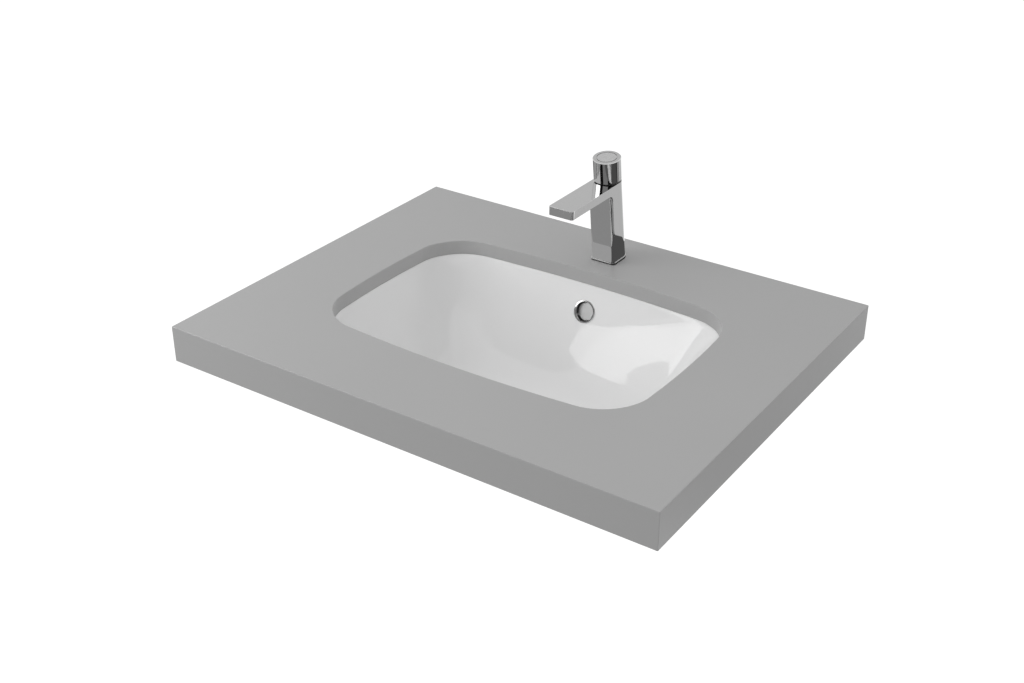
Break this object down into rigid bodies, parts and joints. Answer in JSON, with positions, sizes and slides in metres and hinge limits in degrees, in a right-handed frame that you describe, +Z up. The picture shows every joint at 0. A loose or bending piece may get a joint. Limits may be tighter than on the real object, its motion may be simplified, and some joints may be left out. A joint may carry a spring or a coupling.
{
  "type": "undermount basin",
  "caption": "Rounded rectangular undermount basin clipped under a flat drop-edge worktop, with overflow, push waste and a single-knob mixer tap.",
  "frame": {"origin": "middle of the cut-out, in the plane of the worktop sheet's underside, which is also the middle of the four bracket bolts", "axes": "+X right along the front edge, +Y back towards the wall, +Z up"},
  "size_m": [0.7, 0.55, 0.4074],
  "materials": {
    "mineral_slab": "matte",
    "white_glaze": "gloss",
    "pale_silicone": "satin",
    "polished_chrome": "polished",
    "brushed_chrome": "satin",
    "satin_chrome": "satin",
    "zinc_steel": "satin",
    "insert_brass": "satin",
    "black_rubber": "matte",
    "dark_plastic": "matte",
    "pale_plastic": "satin"
  },
  "bodies": {
    "fixed_parts": {"worktop_sheet": "mineral_slab", "front_edge_strip": "mineral_slab", "back_edge_strip": "mineral_slab", "left_edge_strip": "mineral_slab", "right_edge_strip": "mineral_slab", "bracket_inserts": "insert_brass", "clip_inserts": "insert_brass", "basin": "white_glaze", "rim_seal": "pale_silicone", "clip_studs": "zinc_steel", "mounting_clips": "zinc_steel", "clip_washers": "zinc_steel", "wing_nuts": "zinc_steel", "tap_fixing_stud": "zinc_steel", "tap_steel_washer": "zinc_steel", "tap_fixing_nut": "insert_brass", "overflow_ring": "polished_chrome", "overflow_plate": "satin_chrome", "waste_body": "polished_chrome", "tap_base_plate": "polished_chrome", "tap_body": "polished_chrome", "knob_collar": "dark_plastic", "aerator_housing": "polished_chrome", "waste_upper_washer": "black_rubber", "waste_lower_washer": "black_rubber", "tap_base_gasket": "black_rubber", "tap_rubber_washer": "black_rubber", "cartridge_seal": "black_rubber", "waste_backnut": "dark_plastic", "click_cartridge": "dark_plastic", "aerator_insert": "pale_plastic", "plug_spring": "zinc_steel", "cartridge_body": "pale_plastic", "cartridge_nut": "insert_brass"},
    "tap_knob": {"knob": "polished_chrome", "knob_cap": "brushed_chrome", "knob_screw": "zinc_steel", "cartridge_spindle": "insert_brass"},
    "plug": {"waste_plug": "polished_chrome", "plug_seal": "black_rubber"}
  },
  "joints": [
    {"name": "knob_turn", "type": "hinge", "parent": "fixed_parts", "child": "tap_knob", "pos_m": [0, 0.19637, 0.1384], "axis": [0, -0.1305, 0.9914], "range_deg": [0, 110]},
    {"name": "plug_lift", "type": "slide", "parent": "fixed_parts", "child": "plug", "axis": [0, 0, 1], "range_m": [0, 0.008], "deforming": ["plug_spring"]}
  ]
}
